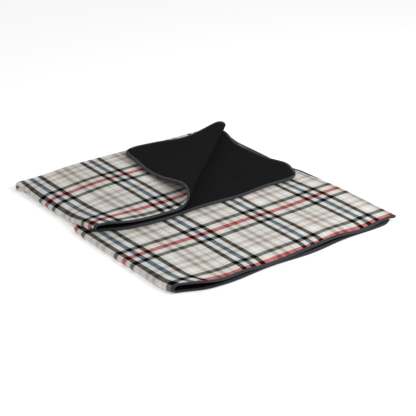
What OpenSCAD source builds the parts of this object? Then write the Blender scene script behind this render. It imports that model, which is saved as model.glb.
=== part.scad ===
// Camp blanket, folded. A plaid fleece face, a soft filling and a black backing make one leaf,
// bound all round with a tape. The sheet is folded in half along its left side, then its far end
// is folded over toward the front, and the front right corner of the top leaf is turned back.
// Frame: +X to the right, +Y away from the front, +Z up, origin under the middle, on the ground.

/* [Sheet] */
// Length of the open blanket, which the first fold halves
sheet_l = 1525; // [1450:5:1600]
// Width of the open blanket, which the second fold shortens
sheet_w = 1295; // [1280:5:1350]
// Radius of the sheet's corners
corner_r = 60; // [55:5:65]

/* [Leaf] */
// Thickness of the plaid face cloth
face_t = 2.2; // [1.6:0.1:3]
// Thickness of the filling
wadding_t = 3; // [2:0.1:4]
// Thickness of the backing cloth
backing_t = 0.8; // [0.7:0.1:1.2]

/* [Folds] */
// Depth of the folded blanket, front to back
folded_d = 835; // [825:5:850]
// Space held open between the two leaves of the first fold
leaf_gap = 4.4; // [4:0.1:6]
// Space between the lower and the upper pair of leaves
pair_gap = 1; // [0.6:0.1:2]

/* [Turned corner] */
// How far the leaf's right edge is drawn in where its corner turns back
turned_inset = 40; // [20:5:50]
// Direction of the roll, measured from the front edge
roll_a = 42; // [42:0.5:43]
// Distance from the sheet's corner to the middle line of the roll
turned_reach = 280; // [275:5:285]
// Outside radius of the roll
roll_r = 25; // [18:1:28]
// Slope of the turned corner, down toward its tip
flap_drop = 7; // [4:0.5:8]
// Free space between the roll and the part of the corner that lifts
flap_gap = 6; // [5:1:10]

/* [Binding] */
// Width of the tape on each side of the leaf
tape_w = 10; // [8:1:14]
// Thickness of the tape
tape_t = 0.5; // [0.4:0.1:0.6]
// Distance from the sheet's edge to the row of stitches
stitch_in = 7; // [5:0.5:7]
// Width of the thread
thread_w = 0.8; // [0.6:0.1:1]
// Depth to which the thread sinks into the tape
thread_t = 0.3; // [0.2:0.05:0.35]

/* [Hidden] */
$fn = 64;
far = 3000;

leaf_t = face_t + wadding_t + backing_t;
pair_h = 2 * leaf_t + leaf_gap;
fold_r = pair_h / 2;
folded_w = (sheet_l - PI * (fold_r - leaf_t / 2)) / 2 + fold_r;
right_x = folded_w / 2;
spine_x = fold_r - folded_w / 2;
stack_h = 2 * pair_h + pair_gap;
bend_r = stack_h / 2;
bend_y = folded_d / 2 - bend_r;
front_y = -folded_d / 2;
lower_len = bend_y - front_y;
upper_len = sheet_w - lower_len - PI * (pair_h + pair_gap) / 2;
upper_front_y = bend_y - upper_len;
lower_corner = [right_x, front_y];
upper_corner = [right_x, upper_front_y];
turned_corner = [right_x - turned_inset, upper_front_y];

// The roll starts along a line on the top leaf; q runs from that line toward the sheet's corner.
top_leaf_z = stack_h - leaf_t;
roll_arc = 180 + flap_drop;
roll_len = roll_arc * PI / 180 * (roll_r - leaf_t / 2);
corner_q = turned_reach + roll_len / 2;
along = [cos(roll_a), sin(roll_a), 0];
toward = [sin(roll_a), -cos(roll_a), 0];
roll_start = [turned_corner[0], turned_corner[1], 0] - corner_q * toward;
roll_centre = roll_start + [0, 0, top_leaf_z + roll_r];
roll_front_s = turned_reach / tan(roll_a);
roll_back_s = turned_reach * tan(roll_a);
roll_shown = roll_arc - 12;
hinge_z = top_leaf_z + roll_r + roll_len / 2 * tan(flap_drop / 2);
hinge = roll_start + roll_len / 2 * toward + [0, 0, hinge_z];
flap_q = roll_len + flap_gap;

// ---- Section of one pair of leaves: a flat loop, closed at the left ----

// The loop's outside shape, moved inward by depth
module loop_2d(depth) {
    r = fold_r - depth;
    translate([spine_x, -r]) square([right_x - spine_x, 2 * r]);
    translate([spine_x, 0]) circle(r);
}

// The stretch of the leaf between two depths below the face cloth's outer surface
module leaf_2d(from, to) {
    difference() {
        loop_2d(from);
        loop_2d(to);
    }
}

module lower_pair(from, to) {
    translate([0, bend_y, fold_r]) rotate([90, 0, 0])
        linear_extrude(lower_len) leaf_2d(from, to);
}

module upper_pair(from, to) {
    translate([0, bend_y, stack_h - fold_r]) rotate([90, 0, 0])
        linear_extrude(upper_len) leaf_2d(from, to);
}

// The second fold carries both leaves round together
module second_fold(from, to) {
    translate([0, bend_y, bend_r]) rotate([0, 90, 0])
        rotate_extrude(angle = 180)
            translate([bend_r - fold_r, 0]) rotate(90) leaf_2d(from, to);
}

// ---- Plan of the sheet: front edge, right edge and the rounded corner between them ----

module plan_2d(corner, inset) {
    r = corner_r - inset;
    x = corner[0] - inset;
    y = corner[1] + inset;
    translate([-folded_w, y]) square([folded_w + x - r, far]);
    translate([-folded_w, y + r]) square([folded_w + x, far]);
    translate([x - r, y + r]) circle(r);
}

// The border of the sheet between two distances in from its edge
module border_2d(corner, outer, inner) {
    difference() {
        plan_2d(corner, outer);
        plan_2d(corner, inner);
    }
}

module plan(corner, outer, inner) {
    translate([0, 0, -1]) linear_extrude(stack_h + 2) {
        if (inner > 0) border_2d(corner, outer, inner);
        else plan_2d(corner, outer);
    }
}

// Everything on the corner's side of the line q
module beyond_2d(q) {
    translate([roll_start[0], roll_start[1]]) rotate(roll_a)
        translate([-far / 2, -far - q]) square([far, far]);
}

// ---- The parts of one layer, between two depths and two distances in from the edge ----

module folded_layer(from, to, outer, inner) {
    intersection() {
        union() {
            lower_pair(from, to);
            second_fold(from, to);
        }
        plan(lower_corner, outer, inner);
    }
    difference() {
        intersection() {
            upper_pair(from, to);
            plan(upper_corner, outer, inner);
        }
        translate([0, 0, top_leaf_z - 1]) linear_extrude(leaf_t + 2) beyond_2d(0);
    }
}

// A stretch of the roll, from one place along it to another, counted from the sheet's corner
module roll_stretch(from, to, start_s, end_s) {
    translate(roll_centre) rotate([0, 90, 180 + roll_a])
        rotate_extrude(angle = roll_shown)
            translate([roll_r - leaf_t + from, -end_s]) square([to - from, end_s - start_s]);
}

module rolled_layer(from, to, outer, inner) {
    front_s = outer - roll_front_s;
    back_s = roll_back_s - outer;
    if (inner > 0) {
        roll_stretch(from, to, front_s, inner - roll_front_s);
        roll_stretch(from, to, roll_back_s - inner, back_s);
    } else {
        roll_stretch(from, to, front_s, back_s);
    }
}

// The corner turned over on top of the leaf
module turned_layer(from, to, outer, inner) {
    translate(hinge) rotate(a = -roll_arc, v = along) translate(-hinge)
        translate([0, 0, stack_h - to]) linear_extrude(to - from) intersection() {
            if (inner > 0) border_2d(turned_corner, outer, inner);
            else plan_2d(turned_corner, outer);
            beyond_2d(flap_q);
        }
}

module layer(turned, from, to, outer, inner) {
    if (turned) {
        turned_layer(from, to, outer, inner);
    } else {
        folded_layer(from, to, outer, inner);
        rolled_layer(from, to, outer, inner);
    }
}

// A cloth runs full thick inside the tape, and thinner between the tape's two sides
module cloth(turned, from, to) {
    layer(turned, from, to, tape_w, 0);
    layer(turned, max(from, tape_t), min(to, leaf_t - tape_t), tape_t, tape_w);
}

module thread_rows(turned) {
    layer(turned, 0, thread_t, stitch_in, stitch_in + thread_w);
    layer(turned, leaf_t - thread_t, leaf_t, stitch_in, stitch_in + thread_w);
}

module tape(turned) {
    difference() {
        union() {
            layer(turned, 0, tape_t, 0, tape_w);
            layer(turned, leaf_t - tape_t, leaf_t, 0, tape_w);
            layer(turned, 0, leaf_t, 0, tape_t);
        }
        thread_rows(turned);
    }
}

// ---- Sub-parts ----

module face_cloth() {
    color("antiquewhite") cloth(false, 0, face_t);
}

module wadding() {
    color("white") cloth(false, face_t, face_t + wadding_t);
}

module backing() {
    color("#1c1c1e") cloth(false, face_t + wadding_t, leaf_t);
}

module binding() {
    color("#3c3f46") tape(false);
}

module binding_stitches() {
    color("#55585f") thread_rows(false);
}

module corner_face_cloth() {
    color("antiquewhite") cloth(true, 0, face_t);
}

module corner_wadding() {
    color("white") cloth(true, face_t, face_t + wadding_t);
}

module corner_backing() {
    color("#1c1c1e") cloth(true, face_t + wadding_t, leaf_t);
}

module corner_binding() {
    color("#3c3f46") tape(true);
}

module corner_binding_stitches() {
    color("#55585f") thread_rows(true);
}

face_cloth();
wadding();
backing();
binding();
binding_stitches();
corner_face_cloth();
corner_wadding();
corner_backing();
corner_binding();
corner_binding_stitches();
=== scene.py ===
"""Camp blanket: folded in half, folded over, with one corner of the top leaf turned back.

Every cloth layer is one sheet, in two pieces that meet just before the turned corner's roll.
place() carries a point of the open sheet to where it lies when folded; the layers, the tape and
the thread are all built on it, so they fold together.
Lengths are in millimetres until a mesh is made.
"""
import math

import bmesh
import bpy
import numpy as np
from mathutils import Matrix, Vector


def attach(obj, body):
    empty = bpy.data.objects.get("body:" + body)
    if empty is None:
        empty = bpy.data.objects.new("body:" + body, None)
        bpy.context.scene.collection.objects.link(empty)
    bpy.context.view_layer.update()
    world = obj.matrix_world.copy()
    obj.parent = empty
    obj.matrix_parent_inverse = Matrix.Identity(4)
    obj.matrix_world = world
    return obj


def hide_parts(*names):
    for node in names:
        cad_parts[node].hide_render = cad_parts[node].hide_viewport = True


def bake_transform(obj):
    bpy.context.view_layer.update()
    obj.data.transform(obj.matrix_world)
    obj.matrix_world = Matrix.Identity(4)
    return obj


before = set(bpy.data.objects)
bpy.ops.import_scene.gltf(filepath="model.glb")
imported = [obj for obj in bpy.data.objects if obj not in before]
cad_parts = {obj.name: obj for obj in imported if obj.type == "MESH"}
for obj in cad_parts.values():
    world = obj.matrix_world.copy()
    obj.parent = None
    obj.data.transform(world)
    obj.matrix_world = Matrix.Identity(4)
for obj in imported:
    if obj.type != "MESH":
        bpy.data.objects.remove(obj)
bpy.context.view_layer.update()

MM = 0.001

# ---- The open sheet: a runs along its length from the middle, b along its width from the front ----

SHEET_L = 1525.0
SHEET_W = 1295.0
HALF_L = SHEET_L / 2
CORNER_R = 60.0

FACE_T = 2.2
WADDING_T = 3.0
BACKING_T = 0.8
LEAF_T = FACE_T + WADDING_T + BACKING_T

# ---- The folds ----

LEAF_STEP = 10.4
PAIR_STEP = 7.0
FOLDED_D = 835.0
FRONT_Y = -FOLDED_D / 2
LOWEST = LEAF_T / 2
BEND_Z = LOWEST + LEAF_STEP + PAIR_STEP / 2
BEND_Y = FOLDED_D / 2 - BEND_Z
LOWER_LEN = BEND_Y - FRONT_Y
INNER_R = PAIR_STEP / 2
OUTER_R = INNER_R + LEAF_STEP
UPPER_Z = BEND_Z + INNER_R
LEFT_X = -379.0
RIGHT_X = 383.0
# The folded side lies further in toward the front, and the upper pair's by a little everywhere
LOWER_SKEW = 16.0
UPPER_SKEW = 12.0
UPPER_KEEPS_IN = 5.0
# The loops at the left stand open by this much more at their front ends
LOOP_BULGE = 15.0
# The front edges of the lower pair lie close together, but for a slack place to each side
FRONT_CLOSE = 3.6
SLACK_RIGHT = 8.0
SLACK_LEFT = 4.5
# The upper pair's fold hangs over the lower pair's, which keeps back under it
FOLD_HANG = 11.0
FOLD_KEEPS_BACK = 28.0
# The share of its height that the stack loses along the far part of its folded side
PRESSED_SHARE = 0.34
# Round the second fold, the outer leaf's longer way passes into the inner leaf's within about this
# distance from the first fold
SIDES_MEET = 60.0

# ---- The turned corner: q runs from the roll's first line toward the sheet's corner ----

ROLL_A = math.radians(42)
ALONG = np.array([math.cos(ROLL_A), math.sin(ROLL_A)])
TOWARD = np.array([math.sin(ROLL_A), -math.cos(ROLL_A)])
ROLL_START = np.array([129.9, 185.8])
ROLL_LEN = 84.0
ROLL_TURN = math.radians(198)
RELAX_LEN = 120.0
FLAP_SLOPE = math.radians(0.5)
PROFILE_LEN = 420
PROFILE_POINTS = 1681
# The roll opens wider toward the front edge, by this share
ROLL_WIDENS = 0.27

# ---- The tuck along the lower pair's right edge ----

TUCK_WIDTH = 40.0
TUCK_LEN = 372.0
TUCK_R = 2.7
TUCKED_HEIGHT = 2.9

# ---- The tape, the thread and the plaid ----

TAPE_W = 9.5
TAPE_STEP = 4.0
STITCH_IN = 6.6
STITCH_PITCH = 5.0
STITCH_HEIGHT = 2.2
LAYER_INSET = 1.2
WARP_REPEAT = 204.0
WEFT_REPEAT = 229.2
BLUE_AT = 45.0
RED_AT = 232.5
# Under the upper pair the weft stripes lie wider apart, which moves those on top by this much
PLAID_DRAWN = 95.0
DRAWN_FROM = 385.0
DRAWN_OVER = 480.0
# Close to the lower pair's front edge they move by this much
FRONT_DRAWN = 10.0
FRONT_DRAWN_OVER = 200.0


def smooth(t):
    t = np.clip(t, 0, 1)
    return t * t * (3 - 2 * t)


def bell(x, middle, width):
    return np.exp(-(((x - middle) / width) ** 2))


def roll_profile():
    """The roll and the flap seen end on: distance in, distance across and height."""
    q = np.linspace(0, PROFILE_LEN, PROFILE_POINTS)
    turn = ROLL_TURN * smooth(q / ROLL_LEN)
    relaxed = math.pi + FLAP_SLOPE
    turn = turn + (relaxed - ROLL_TURN) * smooth((q - ROLL_LEN) / RELAX_LEN)
    step = q[1] - q[0]
    between = (turn[:-1] + turn[1:]) / 2
    across = np.concatenate([[0], np.cumsum(np.cos(between) * step)])
    height = np.concatenate([[0], np.cumsum(np.sin(between) * step)])
    return q, across, height


PROFILE_Q, PROFILE_ACROSS, PROFILE_HEIGHT = roll_profile()


def loop_section(a, bulge, reach):
    """One fold seen end on: distance from its left side, and height of each leg over the lower one.

    a is above 0 on the leg that lies on top. The loop is bulge higher than the step between the
    legs at the left, and settles to that step within reach."""
    r = (LEAF_STEP + bulge) / 2
    arc = np.pi / 2 * r
    angle = np.clip(np.abs(a) / r, 0, np.pi / 2)
    beyond = np.maximum(np.abs(a) - arc, 0)
    across = r * (1 - np.cos(angle)) + beyond
    settle = 1 - smooth(beyond / reach)
    top = r * (1 + np.sin(angle)) - bulge * (1 - settle)
    bottom = r * (1 - np.sin(angle))
    return across, np.where(a > 0, top, bottom)


def front_left_round(across, depth, reach):
    """How far the fold's left side draws in close to the front edge."""
    return reach * np.clip(1 - depth / 90, 0, 1) ** 2 * bell(across, 0, 110)


def lower_leg(a, y):
    """Leaves one (a > 0) and two (a < 0) of the lower pair, at depth y."""
    bulge = LOOP_BULGE * np.exp(-(y - FRONT_Y) / 120)
    across, height = loop_section(-a, bulge, 190)
    under = FOLD_KEEPS_BACK * smooth((BEND_Y - y) / 80) * smooth((y - 40) / 90)
    skew = LOWER_SKEW * smooth((60 - y) / 480)
    left = LEFT_X + skew + front_left_round(across, y - FRONT_Y, 38) + under
    x = left + across
    upper = a < 0
    depth = y - FRONT_Y
    close = FRONT_CLOSE * np.exp(-(depth / 28) ** 2) * smooth((x + 210) / 110)
    slack = SLACK_RIGHT * bell(x, 165, 60) * np.exp(-(depth / 60) ** 2)
    slack = slack + SLACK_LEFT * bell(x, -150, 40) * np.exp(-(depth / 70) ** 2)
    tucked = smooth((x - RIGHT_X + 130) / 75) * smooth((TUCK_LEN + 20 - depth) / 160)
    wave = 1.0 * np.sin(x / 47 + y / 90) * np.sin(y / 71 + 1.3) + 0.8 * np.sin(x / 88 - y / 53)
    shape = (slack - close) * (1 - tucked) + TUCKED_HEIGHT * tucked + wave * smooth(across / 40)
    z = LOWEST + height + np.where(upper, shape, 0.0)
    return x, z


def tuck_under(x, z, depth):
    """Carries leaf two's right edge round and under itself."""
    start = RIGHT_X - TUCK_R
    past = np.maximum(x - start, 0)
    angle = np.clip(past / TUCK_R, 0, np.pi)
    beyond = np.maximum(past - np.pi * TUCK_R, 0)
    width = smooth((TUCK_LEN + 6 - depth) / 30)
    turned_x = start + TUCK_R * np.sin(angle) - beyond
    turned_z = z - TUCK_R * (1 - np.cos(angle))
    mix = np.where(x > start, width, 0.0)
    return x + (turned_x - x) * mix, z + (turned_z - z) * mix


def upper_leg(a, y):
    """Leaves three (a < 0) and four (a > 0) of the upper pair, at depth y."""
    front = BEND_Y - (SHEET_W - LOWER_LEN - np.pi * (INNER_R + OUTER_R) / 2)
    bulge = LOOP_BULGE * np.exp(-(y - front) / 110)
    across, height = loop_section(a, bulge, 170)
    toward_front = smooth((BEND_Y - y) / 430)
    skew = UPPER_KEEPS_IN + UPPER_SKEW * toward_front
    left = LEFT_X + skew + front_left_round(across, y - front, 10)
    x = left + across
    wave = 0.9 * np.sin(x / 52 - y / 77 + 0.6) + 0.7 * np.sin(x / 93 + y / 49)
    # The fold hangs down along its middle, but neither at its open front end nor at the second fold
    hang = smooth(1 - across / 32) * smooth((BEND_Y - y) / 110) * smooth((y - front - 70) / 110)
    z = UPPER_Z + height + 0.8 + wave * smooth(across / 40) * toward_front - FOLD_HANG * hang
    return x, z


def turn_corner(x, y, z):
    """Rolls the top leaf's corner up and over, beyond the roll's first line."""
    q = (x - ROLL_START[0]) * TOWARD[0] + (y - ROLL_START[1]) * TOWARD[1]
    along = (x - ROLL_START[0]) * ALONG[0] + (y - ROLL_START[1]) * ALONG[1]
    wide = 1 + ROLL_WIDENS * smooth((-90 - along) / 260)
    past = np.maximum(q, 0)
    across = wide * np.interp(past / wide, PROFILE_Q, PROFILE_ACROSS)
    height = wide * np.interp(past / wide, PROFILE_Q, PROFILE_HEIGHT)
    return x + (across - past) * TOWARD[0], y + (across - past) * TOWARD[1], z + height


def pressed_flat(x, y):
    """The share of its height that the stack loses at (x, y)."""
    return PRESSED_SHARE * smooth((-170 - x) / 160) * smooth((y + 30) / 190)


def place(a, b):
    """Where the middle of the leaf at (a, b) of the open sheet lies when it is folded."""
    a, b = np.broadcast_arrays(np.asarray(a, float), np.asarray(b, float))
    middle_r = (INNER_R + OUTER_R) / 2
    turn_len = np.pi * (middle_r + LEAF_STEP / 2 * a / np.sqrt(a * a + SIDES_MEET ** 2))
    past_bend = b - LOWER_LEN - turn_len
    angle = np.clip((b - LOWER_LEN) / turn_len, 0, 1) * np.pi
    y_low = FRONT_Y + np.minimum(b, LOWER_LEN)
    y_up = BEND_Y - np.maximum(past_bend, 0)
    x_low, z_low = lower_leg(a, y_low)
    x_up, z_up = upper_leg(a, y_up)
    # Round the second fold each leg keeps its distance from the fold's axis
    share = smooth(angle / np.pi)
    x = x_low + (x_up - x_low) * share
    radius = (BEND_Z - z_low) * (1 - share) + (z_up - BEND_Z) * share
    y = np.where(angle <= 0, y_low, np.where(angle >= np.pi, y_up, BEND_Y + radius * np.sin(angle)))
    z = BEND_Z - radius * np.cos(angle)
    z = LOWEST + (z - LOWEST) * (1 - pressed_flat(x, y))
    tucks = (a < 0) & (b < LOWER_LEN)
    tuck_x, tuck_z = tuck_under(x, z, y - FRONT_Y)
    x = np.where(tucks, tuck_x, x)
    z = np.where(tucks, tuck_z, z)
    turns = (a > 0) & (past_bend > 0)
    turn_x, turn_y, turn_z = turn_corner(x, y, z)
    x = np.where(turns, turn_x, x)
    y = np.where(turns, turn_y, y)
    z = np.where(turns, turn_z, z)
    return np.stack([x, y, z], -1)


def face_normal(a, b):
    """The direction out of the plaid side."""
    step = 0.4
    along_a = place(a + step, b) - place(a - step, b)
    along_b = place(a, b + step) - place(a, b - step)
    n = np.cross(along_b, along_a)
    return n / np.maximum(np.linalg.norm(n, axis=-1, keepdims=True), 1e-9)


# ---- The sheet's outline ----

def side_extra(a, b):
    """How far the cut edge at the right lies past half the length: the folds are slightly skew."""
    past = b - LOWER_LEN
    tucked = TUCK_WIDTH * np.clip(1 - b / TUCK_LEN, 0, 1)
    # Both leaves draw in toward the second fold
    lower = -42 * smooth((b - 392) / 130) * smooth((60 - past) / 190)
    # Leaf three stays drawn in and comes out again near its front, leaf four draws in less
    inner = tucked + lower - 44 * smooth((past - 10) / 160) + 21 * bell(past, 366, 50)
    outer = lower - 2 - 13 * smooth((past - 44) / 400) - 16 * bell(past, 259, 75)
    return np.where(a < 0, inner, outer)


def edge_extra(a, b):
    """How far the front edges lie out or in: the lower pair's, then each leaf's of the upper pair."""
    wave = 3.5 * np.sin(a / 41 + 0.4) + 2.0 * np.sin(a / 97)
    low = wave + 36 * bell(a, 0, 50)
    high = wave + np.where(a > 0, 14, -8) - 44 * bell(a, 0, 62)
    return np.where(b < SHEET_W / 2, low, high)


def fit_outline(a, b):
    """Moves a point of the plain rectangle to the sheet's real outline, keeping the middle still."""
    out_a = a + np.sign(a) * side_extra(a, b) * smooth((np.abs(a) / HALF_L - 0.6) / 0.4)
    near_edge = smooth((90 - np.minimum(b, SHEET_W - b)) / 90)
    return out_a, b + edge_extra(a, b) * near_edge


def round_corners(a, b, r=CORNER_R):
    """Carries the square corners of a rectangle onto quarter circles."""
    u = (np.abs(a) - (HALF_L - r)) / r
    from_middle = b - SHEET_W / 2
    v = (np.abs(from_middle) - (SHEET_W / 2 - r)) / r
    inside = (u > 0) & (v > 0)
    u_in = np.clip(u, 0, 1)
    v_in = np.clip(v, 0, 1)
    round_a = np.sign(a) * (HALF_L - r + r * u_in * np.sqrt(1 - v_in ** 2 / 2))
    round_b = SHEET_W / 2 + np.sign(from_middle) * (
        SHEET_W / 2 - r + r * v_in * np.sqrt(1 - u_in ** 2 / 2))
    return np.where(inside, round_a, a), np.where(inside, round_b, b)


# ---- Meshes of one layer ----

CUT_Q = -14.0
# Where the cut runs, the top leaf's left side lies in by about the first of these, and its loop
# takes up about the second
LEFT_DRAWN_IN = 12.0
LOOP_TAKES = 3.6


def corner_cut():
    """The line across the open sheet just before the roll: a point of it and the way across it."""
    point = ROLL_START + CUT_Q * TOWARD
    left = LEFT_X + LEFT_DRAWN_IN
    a = point[0] - left + LOOP_TAKES
    b = BEND_Y + LOWER_LEN + math.pi * OUTER_R - point[1]
    return np.array([a, b]), np.array([TOWARD[0], -TOWARD[1]])


CUT_POINT, CUT_TOWARD = corner_cut()


def beyond_cut(a, b):
    """How far a point of the open sheet lies past the cut, on the corner's side."""
    return (a - CUT_POINT[0]) * CUT_TOWARD[0] + (b - CUT_POINT[1]) * CUT_TOWARD[1]


def spaced(marks, steps):
    """Places along a line: between two marks they stand about that step apart."""
    places = [np.array([marks[0]])]
    for low, high, step in zip(marks[:-1], marks[1:], steps):
        count = max(1, int(round((high - low) / step)))
        places.append(np.linspace(low, high, count + 1)[1:])
    return np.concatenate(places)


def sheet_grid():
    """The open sheet's grid, closer where the cloth turns sharply."""
    r = CORNER_R
    a_marks = [-HALF_L, -HALF_L + 58, -640, -60, 60, 640, HALF_L - r, HALF_L]
    a_steps = [2.9, 7, 12, 4, 10, 8, 5]
    b_marks = [0, r, LOWER_LEN - 20, LOWER_LEN + 50, SHEET_W - r, SHEET_W]
    b_steps = [5, 11, 3.5, 10, 5]
    return spaced(a_marks, a_steps), spaced(b_marks, b_steps)


def open_mesh(inset):
    """The open sheet as a grid of quads drawn in by inset, cut along the corner's line."""
    places_a, places_b = sheet_grid()
    grid_a, grid_b = np.meshgrid(places_a, places_b, indexing="ij")
    grid_a, grid_b = round_corners(grid_a, grid_b)
    grid_a = grid_a * (1 - inset / HALF_L)
    grid_b = SHEET_W / 2 + (grid_b - SHEET_W / 2) * (1 - 2 * inset / SHEET_W)
    mesh = bmesh.new()
    verts = [[mesh.verts.new((a, b, 0)) for a, b in zip(*row)] for row in zip(grid_a, grid_b)]
    for i in range(len(places_a) - 1):
        for j in range(len(places_b) - 1):
            mesh.faces.new((verts[i][j], verts[i + 1][j], verts[i + 1][j + 1], verts[i][j + 1]))
    cut_at = (CUT_POINT[0], CUT_POINT[1], 0)
    cut_along = (CUT_TOWARD[0], CUT_TOWARD[1], 0)
    everything = mesh.verts[:] + mesh.edges[:] + mesh.faces[:]
    bmesh.ops.bisect_plane(mesh, geom=everything, dist=1e-4, plane_co=cut_at, plane_no=cut_along)
    return mesh


# The turned corner bends sharply when it moves, so its grid is this many cuts finer
CORNER_CUTS = 3


def split_mesh(inset, turned):
    """The sheet's part on one side of the cut: its points (a, b), its faces and its rim."""
    mesh = open_mesh(inset)
    other = []
    for face in mesh.faces:
        centre = face.calc_center_median()
        if (beyond_cut(centre[0], centre[1]) > 0) != turned:
            other.append(face)
    bmesh.ops.delete(mesh, geom=other, context="FACES")
    if turned:
        bmesh.ops.subdivide_edges(mesh, edges=mesh.edges[:], cuts=CORNER_CUTS, use_grid_fill=True)
    mesh.verts.index_update()
    points = np.array([vert.co[:2] for vert in mesh.verts])
    faces = [tuple(vert.index for vert in face.verts) for face in mesh.faces]
    rim = []
    for edge in mesh.edges:
        if len(edge.link_loops) == 1:
            loop = edge.link_loops[0]
            rim.append((loop.vert.index, loop.link_loop_next.vert.index))
    mesh.free()
    return points, faces, rim


def plaid_places(a, b):
    """Where a point of the open sheet lies in the plaid, counted in repeats of its pattern."""
    u = (np.abs(a) - BLUE_AT) / WARP_REPEAT
    drawn = PLAID_DRAWN * smooth((b - DRAWN_FROM) / DRAWN_OVER)
    drawn = drawn + FRONT_DRAWN * (1 - smooth(b / FRONT_DRAWN_OVER))
    v = (b - drawn - RED_AT) / WEFT_REPEAT
    return u, v


PINCHED_SHARE = 0.42


def pinch(points):
    """The share of the leaf's thickness that is left: the tape's stitching presses its edge."""
    a = points[:, 0]
    b = points[:, 1]
    inward = np.minimum(np.minimum(HALF_L - np.abs(a), b), SHEET_W - b)
    return 1 - PINCHED_SHARE * (1 - smooth((inward - 5) / 20))


def new_piece(name, verts, faces, material):
    """A mesh object from vertices in millimetres."""
    mesh = bpy.data.meshes.new(name)
    mesh.from_pydata((np.asarray(verts) * MM).tolist(), [], faces)
    mesh.materials.append(material)
    mesh.polygons.foreach_set("use_smooth", [True] * len(mesh.polygons))
    mesh.set_sharp_from_angle(angle=math.radians(55))
    piece = bpy.data.objects.new(name, mesh)
    bpy.context.scene.collection.objects.link(piece)
    return piece


def lay_uv(piece, places):
    """Gives each corner of each face its vertex's place in the pattern."""
    mesh = piece.data
    corners = np.zeros(len(mesh.loops), int)
    mesh.loops.foreach_get("vertex_index", corners)
    layer = mesh.uv_layers.new(name="cloth")
    layer.data.foreach_set("uv", places[corners].ravel())


def cloth_layer(name, turned, top, bottom, material):
    """One layer of the leaf as a closed shell, between two heights over the leaf's middle."""
    points, faces, rim = split_mesh(LAYER_INSET, turned)
    a, b = fit_outline(points[:, 0], points[:, 1])
    middle = place(a, b)
    outward = face_normal(a, b)
    thin = pinch(points)[:, None]
    verts = np.concatenate([middle + outward * bottom * thin, middle + outward * top * thin])
    count = len(points)
    shell = [face[::-1] for face in faces]
    shell += [tuple(i + count for i in face) for face in faces]
    shell += [(j + count, i + count, i, j) for i, j in rim]
    piece = new_piece(name, verts, shell, material)
    places = np.stack(plaid_places(a, b), -1)
    lay_uv(piece, np.concatenate([places, places]))
    return piece


# ---- The tape round the sheet's edge, and its thread ----

def rim_walk(step):
    """Points round the open sheet's edge, each with the direction inward, starting at the front."""
    r = CORNER_R
    points = []
    inward = []

    def straight(start, end, turn):
        count = int(np.hypot(end[0] - start[0], end[1] - start[1]) / step)
        for t in np.arange(count) / count:
            points.append((start[0] + (end[0] - start[0]) * t, start[1] + (end[1] - start[1]) * t))
            inward.append((-math.cos(turn), -math.sin(turn)))

    def arc(centre, turn):
        count = int(math.pi / 2 * r / step)
        for angle in turn + np.arange(count) / count * math.pi / 2:
            points.append((centre[0] + r * math.cos(angle), centre[1] + r * math.sin(angle)))
            inward.append((-math.cos(angle), -math.sin(angle)))

    straight((r - HALF_L, 0), (HALF_L - r, 0), -math.pi / 2)
    arc((HALF_L - r, r), -math.pi / 2)
    straight((HALF_L, r), (HALF_L, SHEET_W - r), 0)
    arc((HALF_L - r, SHEET_W - r), 0)
    straight((HALF_L - r, SHEET_W), (r - HALF_L, SHEET_W), math.pi / 2)
    arc((r - HALF_L, SHEET_W - r), math.pi / 2)
    straight((-HALF_L, SHEET_W - r), (-HALF_L, r), math.pi)
    arc((r - HALF_L, r), math.pi)
    return np.array(points), np.array(inward)


def rim_chain(step, turned):
    """The stretch of the edge on one side of the cut, from cut to cut."""
    points, inward = rim_walk(step)
    side = beyond_cut(points[:, 0], points[:, 1])
    inside = side > 0
    first = int(np.flatnonzero(~inside[:-1] & inside[1:])[0])
    last = int(np.flatnonzero(inside[:-1] & ~inside[1:])[0])

    def crossing(i):
        t = side[i] / (side[i] - side[i + 1])
        return points[i] + (points[i + 1] - points[i]) * t, inward[i]

    enter, enter_inward = crossing(first)
    leave, leave_inward = crossing(last)
    if turned:
        chain = [enter[None], points[first + 1:last + 1], leave[None]]
        chain_in = [enter_inward[None], inward[first + 1:last + 1], leave_inward[None]]
    else:
        chain = [leave[None], points[last + 1:], points[:first + 1], enter[None]]
        chain_in = [leave_inward[None], inward[last + 1:], inward[:first + 1], enter_inward[None]]
    return np.concatenate(chain), np.concatenate(chain_in)


def tape_section():
    """The tape's section: distances in from the sheet's edge and heights, outside then inside."""
    outside = [(TAPE_W, 2.0), (TAPE_W - 0.4, 2.35), (7.8, 2.35), (6.6, 2.1), (5.4, 2.35),
               (3.8, 2.5), (2.0, 2.35), (0.3, 1.75), (-0.6, 0.8)]
    inside = [(TAPE_W, 1.85), (TAPE_W - 0.6, 1.85), (7.8, 1.85), (6.6, 1.8), (5.4, 1.85),
              (3.8, 1.85), (2.2, 1.75), (1.0, 1.3), (0.6, 0.6)]
    outside += [(s, -h) for s, h in outside[::-1]]
    inside += [(s, -h) for s, h in inside[::-1]]
    return np.array(outside), np.array(inside)


def on_sheet(points, inward, depth, height):
    """Points depth in from the edge and height over the leaf's middle, and the way out of the face."""
    flat = points + inward * depth
    a, b = fit_outline(flat[:, 0], flat[:, 1])
    outward = face_normal(a, b)
    return place(a, b) + outward * height, outward


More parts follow.
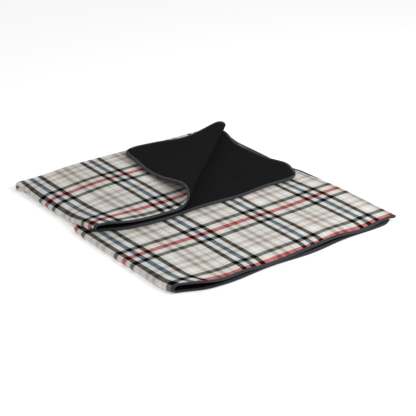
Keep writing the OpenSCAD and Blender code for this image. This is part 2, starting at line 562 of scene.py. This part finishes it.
def tape(name, turned, material):
    """The tape as a closed tube of its section, swept along the edge from cut to cut."""
    points, inward = rim_chain(TAPE_STEP, turned)
    outside, inside = tape_section()
    ring = np.concatenate([outside, inside[::-1]])
    columns = [on_sheet(points, inward, depth, height)[0] for depth, height in ring]
    verts = np.stack(columns, 1)
    count, size = verts.shape[:2]
    faces = []
    for i in range(count - 1):
        for j in range(size):
            k = (j + 1) % size
            faces.append((i * size + j, i * size + k, (i + 1) * size + k, (i + 1) * size + j))
    half = len(outside)
    last = (count - 1) * size
    for j in range(half - 1):
        near = (j, size - 1 - j, size - 2 - j, j + 1)
        faces.append(near)
        faces.append(tuple(last + i for i in near[::-1]))
    piece = new_piece(name, verts.reshape(-1, 3), faces, material)
    walked = np.concatenate([[0], np.cumsum(np.hypot(*np.diff(points, axis=0).T))])
    around = np.concatenate([[0], np.cumsum(np.hypot(*np.diff(ring, axis=0).T))])
    grid = np.stack(np.meshgrid(walked, around, indexing="ij"), -1) * MM
    lay_uv(piece, grid.reshape(-1, 2))
    return piece


def thread(name, turned, material):
    """One short raised stitch after another, on both sides of the leaf."""
    points, inward = rim_chain(STITCH_PITCH, turned)
    points = points[1:-1]
    inward = inward[1:-1]
    along = np.stack([inward[:, 1], -inward[:, 0]], -1)
    stations = [(-1.8, 0.12), (-1.45, 0.36), (-0.5, 0.46), (0.5, 0.46), (1.45, 0.36), (1.8, 0.12)]
    sides = 6
    verts = []
    faces = []
    for way in (1, -1):
        middle, outward = on_sheet(points, inward, STITCH_IN, STITCH_HEIGHT * way)
        ahead, _ = on_sheet(points + along, inward, STITCH_IN, STITCH_HEIGHT * way)
        run = ahead - middle
        run /= np.linalg.norm(run, axis=1, keepdims=True)
        across = np.cross(run, outward)
        for centre, t, n, c in zip(middle, run, outward, across):
            first = len(verts)
            for offset, radius in stations:
                for angle in np.arange(sides) * 2 * math.pi / sides:
                    round_it = c * math.cos(angle) + n * (0.8 * math.sin(angle))
                    verts.append(centre + t * offset + round_it * radius)
            for i in range(len(stations) - 1):
                for j in range(sides):
                    k = (j + 1) % sides
                    a = first + i * sides
                    faces.append((a + j, a + k, a + sides + k, a + sides + j))
            faces.append(tuple(first + j for j in range(sides))[::-1])
            faces.append(tuple(first + (len(stations) - 1) * sides + j for j in range(sides)))
    return new_piece(name, np.array(verts), faces, material)


# ---- Materials ----

def new_material(name, roughness, sheen, gloss=0.0):
    """A cloth material with nothing linked yet, and its node tree and shader."""
    material = bpy.data.materials.new(name)
    material.use_nodes = True
    tree = material.node_tree
    shader = tree.nodes["Principled BSDF"]
    shader.inputs["Roughness"].default_value = roughness
    shader.inputs["Specular IOR Level"].default_value = gloss
    shader.inputs["Sheen Weight"].default_value = sheen
    shader.inputs["Sheen Roughness"].default_value = 0.6
    return material, tree, shader


def add(tree, kind, **values):
    """A new node with its sockets set by name."""
    node = tree.nodes.new(kind)
    for name, value in values.items():
        node.inputs[name.replace("_", " ")].default_value = value
    return node


def maths(tree, operation, first, second=None):
    """A Math node; each side is a socket or a number, and some operations take only one."""
    node = tree.nodes.new("ShaderNodeMath")
    node.operation = operation
    for socket, value in zip(node.inputs, (first, second)):
        if isinstance(value, (int, float)):
            socket.default_value = value
        elif value is not None:
            tree.links.new(value, socket)
    return node.outputs[0]


def noise(tree, where, scale, detail=3.0, roughness=0.55):
    """Noise from 0 to 1 over the places that where gives."""
    node = add(tree, "ShaderNodeTexNoise", Scale=scale, Detail=detail, Roughness=roughness)
    tree.links.new(where, node.inputs["Vector"])
    return node.outputs["Fac"]


def bump(tree, shader, height, distance, strength):
    """Gives the shader a relief of that height."""
    node = add(tree, "ShaderNodeBump", Strength=strength, Distance=distance)
    tree.links.new(height, node.inputs["Height"])
    tree.links.new(node.outputs["Normal"], shader.inputs["Normal"])


def spread(tree, value, low, high):
    """Carries a value from 0..1 to low..high."""
    node = add(tree, "ShaderNodeMapRange", To_Min=low, To_Max=high)
    tree.links.new(value, node.inputs["Value"])
    return node.outputs["Result"]


def tint(tree, first, second):
    """One colour times another; the first is a socket or a colour."""
    node = tree.nodes.new("ShaderNodeMix")
    node.data_type = "RGBA"
    node.blend_type = "MULTIPLY"
    node.inputs["Factor"].default_value = 1.0
    if isinstance(first, tuple):
        node.inputs["A"].default_value = first
    else:
        tree.links.new(first, node.inputs["A"])
    tree.links.new(second, node.inputs["B"])
    return node.outputs["Result"]


def vector_maths(tree, operation, first, second):
    """A Vector Math node; the second side is a socket or a vector."""
    node = tree.nodes.new("ShaderNodeVectorMath")
    node.operation = operation
    tree.links.new(first, node.inputs[0])
    if isinstance(second, tuple):
        node.inputs[1].default_value = second
    else:
        tree.links.new(second, node.inputs[1])
    return node.outputs[0]


# The darkest that two crossing stripes get, and the power that turns eye values into light
DARKEST = 0.05
EYE_GAMMA = 2.2
# Half the width over which a stripe's edge fades, as a share of the repeat
STRIPE_SOFT = 0.004


def crossed(tree, warp, weft):
    """Where a warp and a weft stripe cross, each takes its share off the plain cloth."""
    both = vector_maths(tree, "SUBTRACT", vector_maths(tree, "ADD", warp, weft), (1, 1, 1))
    kept = vector_maths(tree, "MAXIMUM", both, (DARKEST, DARKEST, DARKEST))
    gamma = add(tree, "ShaderNodeGamma", Gamma=EYE_GAMMA)
    tree.links.new(kept, gamma.inputs["Color"])
    return gamma.outputs["Color"]


def stripes(tree, place_in_repeat, bands):
    """The colour that each stripe gives its yarns; a band is its middle, its width and its colour."""
    node = tree.nodes.new("ShaderNodeValToRGB")
    node.color_ramp.interpolation = "LINEAR"
    plain = (1, 1, 1)
    stops = []
    for middle, width, colour in bands:
        start = middle - width / 2
        end = middle + width / 2
        stops += [(start - STRIPE_SOFT, plain), (start + STRIPE_SOFT, colour)]
        stops += [(end - STRIPE_SOFT, colour), (end + STRIPE_SOFT, plain)]
    elements = node.color_ramp.elements
    elements[0].position = 0
    elements[0].color = (*plain, 1)
    elements.remove(elements[1])
    for position, colour in stops:
        elements.new(position).color = (*colour, 1)
    tree.links.new(place_in_repeat, node.inputs["Fac"])
    return node.outputs["Color"]


# The stripes' middles and widths are shares of the repeat, counted from half a repeat before
# the coloured one, so that no stripe crosses the ramp's end. Their colours are as the eye reads
# them, against a plain cloth of 1, and where two stripes cross both are taken off it.
WARP_BANDS = [
    (0.060, 0.070, (0.845, 0.825, 0.815)),
    (0.200, 0.030, (0.890, 0.890, 0.885)),
    (0.358, 0.068, (0.405, 0.402, 0.393)),
    (0.502, 0.074, (0.468, 0.545, 0.604)),
    (0.650, 0.070, (0.405, 0.402, 0.393)),
    (0.780, 0.060, (1.055, 1.055, 1.060)),
    (0.925, 0.070, (0.845, 0.825, 0.815)),
]
WEFT_BANDS = [
    (0.045, 0.066, (0.895, 0.872, 0.865)),
    (0.180, 0.028, (0.910, 0.910, 0.905)),
    (0.345, 0.070, (0.520, 0.518, 0.510)),
    (0.500, 0.074, (0.835, 0.520, 0.525)),
    (0.665, 0.072, (0.520, 0.518, 0.510)),
    (0.795, 0.055, (1.050, 1.050, 1.055)),
    (0.915, 0.066, (0.895, 0.872, 0.865)),
]
CREAM = (0.60, 0.585, 0.55, 1)
TWILL_PITCH = 0.0024
RIB_PITCH = 0.0011


def in_repeat(tree, repeats, waver):
    """The place within one repeat, counted from half a repeat before the coloured stripe."""
    shifted = maths(tree, "ADD", maths(tree, "ADD", repeats, 0.5), waver)
    return maths(tree, "FRACT", shifted)


def plaid_material():
    """Brushed plaid fleece: warp and weft stripes over cream, twill lines, pilling and fuzz."""
    material, tree, shader = new_material("plaid_fleece", 0.95, 0.012)
    link = tree.links.new
    cloth = tree.nodes.new("ShaderNodeUVMap")
    cloth.uv_map = "cloth"
    split = tree.nodes.new("ShaderNodeSeparateXYZ")
    link(cloth.outputs["UV"], split.inputs[0])
    # Places on the cloth in metres, for everything finer than the stripes
    metres = (WARP_REPEAT * MM, WEFT_REPEAT * MM, 1)
    where = vector_maths(tree, "MULTIPLY", cloth.outputs["UV"], metres)
    fuzz = noise(tree, where, 420, 4, 0.65)
    tufts = noise(tree, where, 150, 3)
    blotch = noise(tree, where, 9, 2)
    waver = spread(tree, tufts, -0.006, 0.006)
    warp = stripes(tree, in_repeat(tree, split.outputs[0], waver), WARP_BANDS)
    weft = stripes(tree, in_repeat(tree, split.outputs[1], waver), WEFT_BANDS)
    base = tint(tree, CREAM, crossed(tree, warp, weft))
    # Fine diagonal twill lines
    place_m = tree.nodes.new("ShaderNodeSeparateXYZ")
    link(where, place_m.inputs[0])
    diagonal = maths(tree, "ADD", place_m.outputs[0], place_m.outputs[1])
    twill = maths(tree, "SINE", maths(tree, "MULTIPLY", diagonal, 2 * math.pi / TWILL_PITCH))
    shade = maths(tree, "MULTIPLY", spread(tree, fuzz, 0.80, 1.20), spread(tree, blotch, 0.96, 1.04))
    shade = maths(tree, "MULTIPLY", shade, spread(tree, tufts, 0.90, 1.10))
    shade = maths(tree, "ADD", shade, maths(tree, "MULTIPLY", twill, 0.018))
    grey = tree.nodes.new("ShaderNodeCombineColor")
    for socket in grey.inputs:
        link(shade, socket)
    link(tint(tree, base, grey.outputs["Color"]), shader.inputs["Base Color"])
    height = maths(tree, "ADD", fuzz, maths(tree, "MULTIPLY", tufts, 1.4))
    height = maths(tree, "ADD", height, maths(tree, "MULTIPLY", twill, 0.12))
    bump(tree, shader, height, 0.0009, 0.7)
    return material


def two_shades(tree, shader, value, low, high):
    """Colours the shader by value, between two places on its scale, each with its colour."""
    ramp = tree.nodes.new("ShaderNodeValToRGB")
    for element, (position, colour) in zip(ramp.color_ramp.elements, (low, high)):
        element.position = position
        element.color = (*colour, 1)
    tree.links.new(value, ramp.inputs["Fac"])
    tree.links.new(ramp.outputs["Color"], shader.inputs["Base Color"])


def plain_cloth(name, dark, light, roughness, sheen, grain, relief):
    """One-colour cloth with fine pile: two shades, mottled, and a bump of the same grain."""
    material, tree, shader = new_material(name, roughness, sheen)
    where = tree.nodes.new("ShaderNodeTexCoord").outputs["Object"]
    fine = noise(tree, where, grain, 4, 0.6)
    broad = noise(tree, where, 24, 2)
    mixed = maths(tree, "ADD", maths(tree, "MULTIPLY", fine, 0.7), maths(tree, "MULTIPLY", broad, 0.3))
    two_shades(tree, shader, mixed, (0.3, dark), (0.7, light))
    bump(tree, shader, fine, relief, 0.6)
    return material


def tape_material():
    """Woven grosgrain tape: ribs across its width, their crests painted lighter as a highlight, and a
    fine grain, in two shades of charcoal.
    """
    material, tree, shader = new_material("binding_tape", 0.8, 0.03, 0.12)
    cloth = tree.nodes.new("ShaderNodeUVMap")
    cloth.uv_map = "cloth"
    split = tree.nodes.new("ShaderNodeSeparateXYZ")
    tree.links.new(cloth.outputs["UV"], split.inputs[0])
    rib_relief_and_highlight = maths(tree, "SINE", maths(tree, "MULTIPLY", split.outputs[0], 2 * math.pi / RIB_PITCH))
    grain = noise(tree, cloth.outputs["UV"], 700, 3)
    # The ribs give the relief and also the colour: each rib's crest is painted lighter, a painted
    # highlight; the grain is random tone
    shade = maths(tree, "ADD", maths(tree, "MULTIPLY", rib_relief_and_highlight, 0.16), grain)
    two_shades(tree, shader, shade, (0.25, (0.020, 0.0215, 0.026)), (0.8, (0.046, 0.049, 0.058)))
    bump(tree, shader, shade, 0.0003, 0.8)
    return material


# ---- The scene ----

CAMERA_AT = (-1573.1, -2176.9, 1274.7)
CAMERA_YAW = math.radians(36.427)
CAMERA_PITCH = math.radians(25.585)
CAMERA_LENS = 88.5


def look_from(place_mm, yaw, pitch, lens):
    """The scene's camera; yaw turns from +Y toward +X, and pitch looks down."""
    data = bpy.data.cameras.new("camera")
    data.lens = lens
    data.sensor_width = 36
    camera = bpy.data.objects.new("camera", data)
    bpy.context.scene.collection.objects.link(camera)
    level = math.cos(pitch)
    forward = Vector((math.sin(yaw) * level, math.cos(yaw) * level, -math.sin(pitch)))
    camera.location = Vector(place_mm) * MM
    camera.rotation_euler = forward.to_track_quat("-Z", "Y").to_euler()
    bpy.context.scene.camera = camera


look_from(CAMERA_AT, CAMERA_YAW, CAMERA_PITCH, CAMERA_LENS)


def area_light(name, place_m, size, power):
    """A square light that faces the middle of the floor."""
    data = bpy.data.lights.new(name, "AREA")
    data.shape = "SQUARE"
    data.size = size
    data.energy = power
    light = bpy.data.objects.new(name, data)
    light.location = place_m
    light.rotation_euler = (-Vector(place_m)).to_track_quat("-Z", "Y").to_euler()
    bpy.context.scene.collection.objects.link(light)


FLOOR_HALF = 14.0
FLOOR_DROP = 0.0006


def studio():
    """A white floor, a white surround and two soft lights from the front."""
    surround = bpy.data.worlds.new("surround")
    surround.use_nodes = True
    surround.node_tree.nodes["Background"].inputs["Color"].default_value = (1, 1, 1, 1)
    surround.node_tree.nodes["Background"].inputs["Strength"].default_value = 0.69
    bpy.context.scene.world = surround
    bpy.context.scene.view_settings.view_transform = "Standard"
    area_light("key", (0.9, -1.5, 1.3), 1.2, 30)
    area_light("fill", (-1.6, -1.6, 2.6), 2.0, 5)
    mesh = bpy.data.meshes.new("floor")
    corners = [(x * FLOOR_HALF, y * FLOOR_HALF, 0) for x, y in ((-1, -1), (1, -1), (1, 1), (-1, 1))]
    mesh.from_pydata(corners, [], [(0, 1, 2, 3)])
    floor = bpy.data.objects.new("floor", mesh)
    floor.location = (0, 0, -FLOOR_DROP)
    bpy.context.scene.collection.objects.link(floor)
    material, _, shader = new_material("floor", 0.8, 0)
    shader.inputs["Base Color"].default_value = (0.9, 0.9, 0.9, 1)
    shader.inputs["Emission Color"].default_value = (1, 1, 1, 1)
    shader.inputs["Emission Strength"].default_value = 0.26
    mesh.materials.append(material)


studio()

plaid = plaid_material()
filling = plain_cloth(
    "wadding", dark=(0.62, 0.62, 0.61), light=(0.76, 0.76, 0.75),
    roughness=0.95, sheen=0.2, grain=300, relief=0.0008)
black = plain_cloth(
    "black_backing", dark=(0.0040, 0.0040, 0.0042), light=(0.0095, 0.0094, 0.0096),
    roughness=0.9, sheen=0.015, grain=520, relief=0.0005)
ribbed = tape_material()
yarn = plain_cloth(
    "thread", dark=(0.05, 0.053, 0.062), light=(0.085, 0.09, 0.10),
    roughness=0.7, sheen=0.1, grain=900, relief=0.0002)

FACE_TOP = LEAF_T / 2
FACE_LOW = FACE_TOP - FACE_T
BACK_TOP = -LEAF_T / 2 + BACKING_T
BACK_LOW = -LEAF_T / 2


def make_leaf(prefix, turned):
    """All the pieces of the main sheet or of its turned corner, each for its CAD node."""
    made = {
        "face_cloth": cloth_layer(f"{prefix}plaid_face", turned, FACE_TOP, FACE_LOW, plaid),
        "wadding": cloth_layer(f"{prefix}filling", turned, FACE_LOW, BACK_TOP, filling),
        "backing": cloth_layer(f"{prefix}black_back", turned, BACK_TOP, BACK_LOW, black),
        "binding": tape(f"{prefix}edge_tape", turned, ribbed),
        "binding_stitches": thread(f"{prefix}edge_thread", turned, yarn),
    }
    for part, piece in made.items():
        node = f"corner_{part}" if turned else part
        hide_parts(node)
    return made


leaf = make_leaf("", False)
corner = make_leaf("corner_", True)

for piece in leaf.values():
    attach(piece, "blanket")
for piece in corner.values():
    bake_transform(piece)


def flat_area(turned):
    """The open area of one of the two parts in square metres, and the sides of its box."""
    points, faces, _ = split_mesh(0, turned)
    total = 0.0
    for face in faces:
        x, y = points[list(face)].T
        total += abs(np.dot(x, np.roll(y, -1)) - np.dot(y, np.roll(x, -1))) / 2
    return total * MM * MM, (np.ptp(points[:, 0]) * MM, np.ptp(points[:, 1]) * MM)


for made, turned in ((leaf, False), (corner, True)):
    area, size = flat_area(turned)
